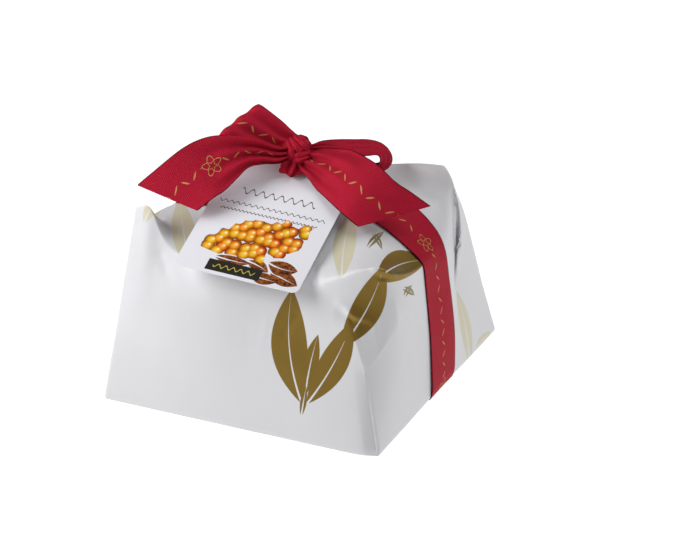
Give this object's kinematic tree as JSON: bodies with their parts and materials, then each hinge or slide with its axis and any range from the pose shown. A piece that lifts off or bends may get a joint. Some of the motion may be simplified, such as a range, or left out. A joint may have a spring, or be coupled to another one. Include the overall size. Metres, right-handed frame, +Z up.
{
  "type": "gift-wrapped panettone",
  "caption": "Low round panettone in a paper mould and film bag, gift-wrapped in a folded white paper sheet, held by a red ribbon with a bow and a hanging card tag.",
  "frame": {"origin": "middle of the base, on the surface that it stands on", "axes": "+Z up; -Y towards the front, where the tag hangs; +X towards the end that the ribbon's right side runs down"},
  "size_m": [0.2324, 0.245, 0.2146],
  "materials": {
    "bread_crust": "baked brown crust",
    "mould_paper": "brown corrugated baking paper",
    "clear_film": "clear crinkled film",
    "tie_wire": "gold coated wire",
    "wrapping_paper": "white satin coated paper with gold print",
    "red_ribbon": "woven satin ribbon with gold print",
    "tag_card": "white coated card, printed"
  },
  "bodies": {
    "root": {"panettone_loaf": "bread_crust", "baking_mould_wall": "mould_paper", "baking_mould_base": "mould_paper", "inner_bag": "clear_film", "bag_tie": "tie_wire", "wrapper": "wrapping_paper", "ribbon_band": "red_ribbon", "bow_knot": "red_ribbon", "bow_loop_left": "red_ribbon", "bow_loop_right": "red_ribbon", "ribbon_tail_left": "red_ribbon", "ribbon_tail_right": "red_ribbon", "tag": "tag_card"}
  },
  "joints": []
}
